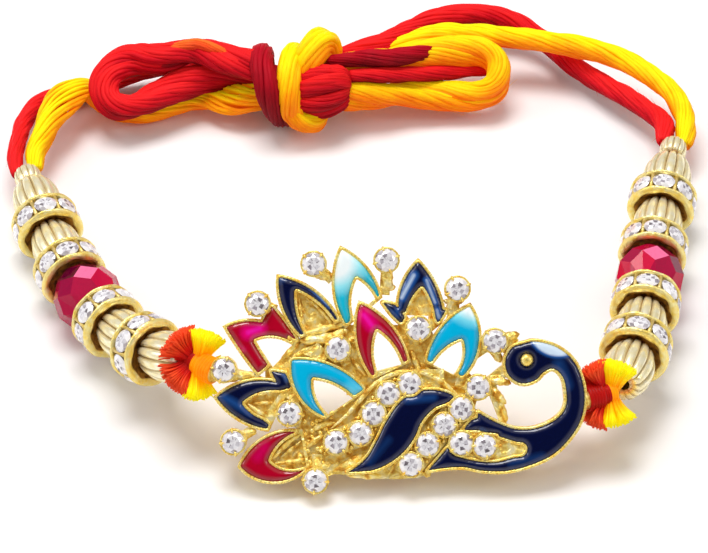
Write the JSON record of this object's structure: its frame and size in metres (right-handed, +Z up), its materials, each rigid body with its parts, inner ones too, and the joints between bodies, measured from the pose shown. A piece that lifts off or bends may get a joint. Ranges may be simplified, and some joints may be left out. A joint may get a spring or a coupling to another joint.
{
  "type": "rakhi thread bracelet",
  "caption": "Festive thread bracelet: an enamelled gold peacock pendant with cut stones between strings of beads and floss knots, tied at the back with a thread bow.",
  "frame": {"origin": "on the surface that the bracelet lies on, under the middle of the box of its metal, stones and beads", "axes": "+X to the right along the pendant as it is looked at, +Y from the pendant towards the bow, +Z up"},
  "size_m": [0.0824, 0.0756, 0.0204],
  "materials": {
    "bright_gold": "polished gold plate",
    "pale_gold": "pale satin gold plate",
    "crimson_enamel": "glossy domed enamel",
    "navy_enamel": "glossy domed enamel",
    "turquoise_enamel": "glossy domed enamel",
    "pale_turquoise_enamel": "glossy domed enamel",
    "clear_stone": "cut and polished",
    "crimson_crystal": "cut and polished",
    "white_thread": "twisted thread",
    "red_floss": "satin floss",
    "yellow_floss": "satin floss",
    "red_cord": "soft twisted yarn",
    "yellow_cord": "soft twisted yarn"
  },
  "bodies": {
    "root": {"peacock_setting": "bright_gold", "turquoise_top_enamel": "pale_turquoise_enamel", "navy_top_right_enamel": "navy_enamel", "crimson_left_enamel": "crimson_enamel", "navy_left_enamel": "navy_enamel", "crimson_lower_enamel": "crimson_enamel", "navy_top_left_enamel": "navy_enamel", "turquoise_right_enamel": "turquoise_enamel", "crimson_centre_enamel": "crimson_enamel", "turquoise_centre_enamel": "turquoise_enamel", "wing_enamel": "navy_enamel", "neck_enamel": "navy_enamel", "tail_stones": "clear_stone", "wing_stones": "clear_stone", "body_stones": "clear_stone", "left_ribbed_bead_1": "pale_gold", "left_rondelle_1": "bright_gold", "left_rondelle_stones_1": "clear_stone", "left_ribbed_bead_2": "pale_gold", "left_rondelle_2": "bright_gold", "left_rondelle_stones_2": "clear_stone", "left_ribbed_bead_3": "pale_gold", "left_rondelle_3": "bright_gold", "left_rondelle_stones_3": "clear_stone", "left_ribbed_bead_4": "pale_gold", "left_rondelle_4": "bright_gold", "left_rondelle_stones_4": "clear_stone", "left_crystal": "crimson_crystal", "left_end_bead": "pale_gold", "left_thread": "white_thread", "left_red_floss": "red_floss", "left_yellow_floss": "yellow_floss", "left_red_cord": "red_cord", "left_yellow_cord": "yellow_cord", "right_ribbed_bead_1": "pale_gold", "right_rondelle_1": "bright_gold", "right_rondelle_stones_1": "clear_stone", "right_ribbed_bead_2": "pale_gold", "right_rondelle_2": "bright_gold", "right_rondelle_stones_2": "clear_stone", "right_ribbed_bead_3": "pale_gold", "right_rondelle_3": "bright_gold", "right_rondelle_stones_3": "clear_stone", "right_ribbed_bead_4": "pale_gold", "right_rondelle_4": "bright_gold", "right_rondelle_stones_4": "clear_stone", "right_crystal": "crimson_crystal", "right_end_bead": "pale_gold", "right_thread": "white_thread", "right_red_floss": "red_floss", "right_yellow_floss": "yellow_floss", "right_red_cord": "red_cord", "right_yellow_cord": "yellow_cord", "left_loop": "red_cord", "right_loop": "yellow_cord", "knot_core": "red_cord", "knot_red_wrap": "red_cord", "knot_yellow_wrap": "yellow_cord", "knot_back_wrap": "red_cord"}
  },
  "joints": []
}
